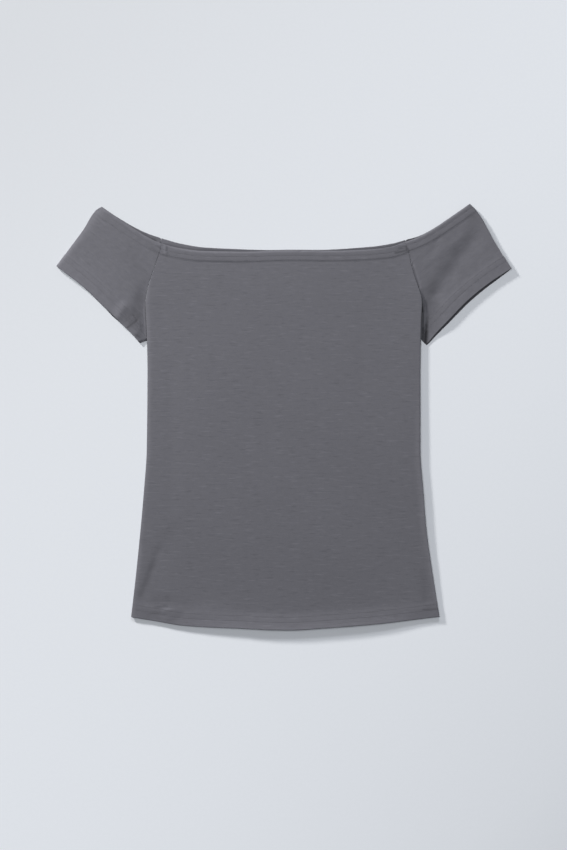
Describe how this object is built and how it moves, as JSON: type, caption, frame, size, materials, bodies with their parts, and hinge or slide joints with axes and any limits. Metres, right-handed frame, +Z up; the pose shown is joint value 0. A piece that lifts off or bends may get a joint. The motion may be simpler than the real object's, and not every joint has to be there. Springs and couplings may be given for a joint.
{
  "type": "off-shoulder top",
  "caption": "Off-shoulder top in grey slub jersey with short sleeves and turned, stitched edges, laid flat with its front uppermost.",
  "frame": {"origin": "middle of the outline seen from above, on the underside that lies on the surface", "axes": "+X across the top from its left sleeve in the picture to the right one, +Y up towards the neckline, +Z up from the surface through the front"},
  "size_m": [0.5682, 0.5324, 0.007],
  "materials": {
    "jersey": "matte"
  },
  "bodies": {
    "root": {"front_panel": "jersey", "back_panel": "jersey", "left_sleeve": "jersey", "right_sleeve": "jersey"}
  },
  "joints": []
}
